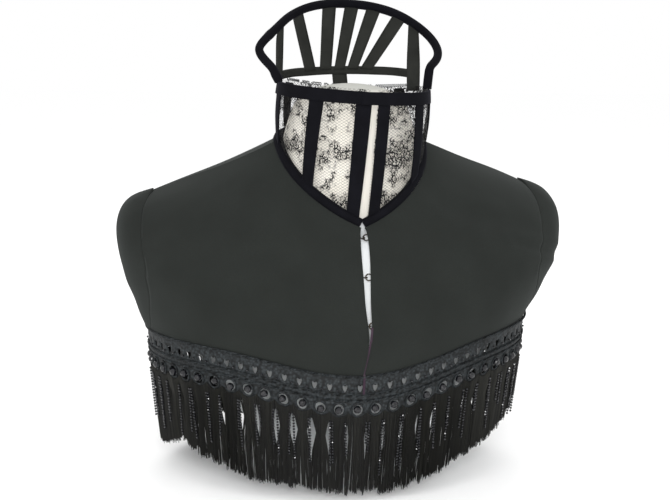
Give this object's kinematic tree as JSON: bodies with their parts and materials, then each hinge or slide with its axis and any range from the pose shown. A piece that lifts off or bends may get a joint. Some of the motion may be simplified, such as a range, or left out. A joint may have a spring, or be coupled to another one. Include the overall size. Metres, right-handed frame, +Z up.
{
  "type": "fringed shoulder cape on a dress form",
  "caption": "Black wool shoulder cape with a boned lace collar, a ribbon fan behind the neck and a tasselled hem, standing on a limbless dress form.",
  "frame": {"origin": "middle of the dress form's flat base, on the surface that it stands on", "axes": "+Z up; the cape's front faces -Y; +X is towards the wearer's left"},
  "size_m": [0.3901, 0.231, 0.3966],
  "materials": {
    "canvas": "matt cotton canvas, closely woven",
    "wool": "black wool, close plain weave, matt",
    "velvet": "black velvet ribbon with a short pile",
    "lace": "black bobbin lace on an open net",
    "braid": "black openwork braid with eyelets",
    "silk": "black silk floss, softly shining",
    "steel": "blued steel wire"
  },
  "bodies": {
    "root": {"dress_form": "canvas", "front_right": "wool", "side_right": "wool", "binding_right": "velvet", "lace_right": "lace", "top_band_right": "velvet", "heading_right": "braid", "fringe_right": "silk", "front_left": "wool", "side_left": "wool", "binding_left": "velvet", "lace_left": "lace", "top_band_left": "velvet", "heading_left": "braid", "fringe_left": "silk", "back": "wool", "bone_0": "velvet", "bone_1": "velvet", "bone_2": "velvet", "bone_3": "velvet", "bone_4": "velvet", "bone_5": "velvet", "bone_6": "velvet", "bone_7": "velvet", "bone_8": "velvet", "fan_rim": "velvet", "fan_base": "velvet", "fan_stub": "velvet", "fan_rib_0": "velvet", "fan_rib_1": "velvet", "fan_rib_2": "velvet", "fan_rib_3": "velvet", "fan_rib_4": "velvet", "fan_rib_5": "velvet", "fan_rib_6": "velvet", "hook_1": "steel", "eye_1": "steel", "hook_2": "steel", "eye_2": "steel", "hook_3": "steel", "eye_3": "steel"}
  },
  "joints": []
}
